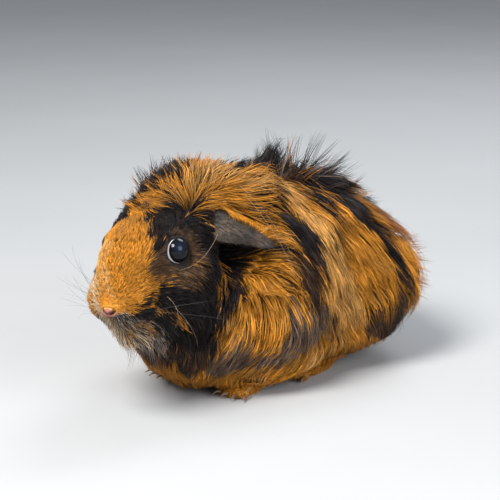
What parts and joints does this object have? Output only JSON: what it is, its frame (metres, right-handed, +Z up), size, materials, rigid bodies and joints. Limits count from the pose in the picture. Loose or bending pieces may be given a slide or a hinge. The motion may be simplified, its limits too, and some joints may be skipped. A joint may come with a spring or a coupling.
{
  "type": "guinea pig",
  "caption": "Rough-coated guinea pig crouching on its belly with all feet under it and its head raised and turned to its left, a still life-size figure.",
  "frame": {"origin": "on the floor, under the middle of the bounding box", "axes": "+Z up, +Y from head to rump along the trunk, +X to the animal's left"},
  "size_m": [0.0996, 0.19, 0.0972],
  "materials": {
    "orange_coat": "orange-tan hair, soft sheen",
    "dark_coat": "black-brown hair, soft sheen",
    "mixed_coat": "orange and black hair mixed",
    "ear_skin": "dark grey bare skin, dull",
    "nose_skin": "pink bare skin, slightly moist",
    "eyeball": "wet black",
    "horn": "translucent brown horn"
  },
  "bodies": {
    "root": {"claw_foreleg_left_1": "horn", "claw_foreleg_left_2": "horn", "claw_foreleg_left_3": "horn", "claw_foreleg_left_4": "horn", "foreleg_left": "mixed_coat", "claw_foreleg_right_1": "horn", "claw_foreleg_right_2": "horn", "claw_foreleg_right_3": "horn", "claw_foreleg_right_4": "horn", "foreleg_right": "mixed_coat", "claw_hindleg_left_1": "horn", "claw_hindleg_left_2": "horn", "claw_hindleg_left_3": "horn", "hindleg_left": "mixed_coat", "claw_hindleg_right_1": "horn", "claw_hindleg_right_2": "horn", "claw_hindleg_right_3": "horn", "hindleg_right": "mixed_coat", "ear_left": "ear_skin", "ear_right": "ear_skin", "eye_left": "eyeball", "eye_right": "eyeball", "nose": "nose_skin", "head": "orange_coat", "neck": "dark_coat", "trunk": "orange_coat"}
  },
  "joints": []
}
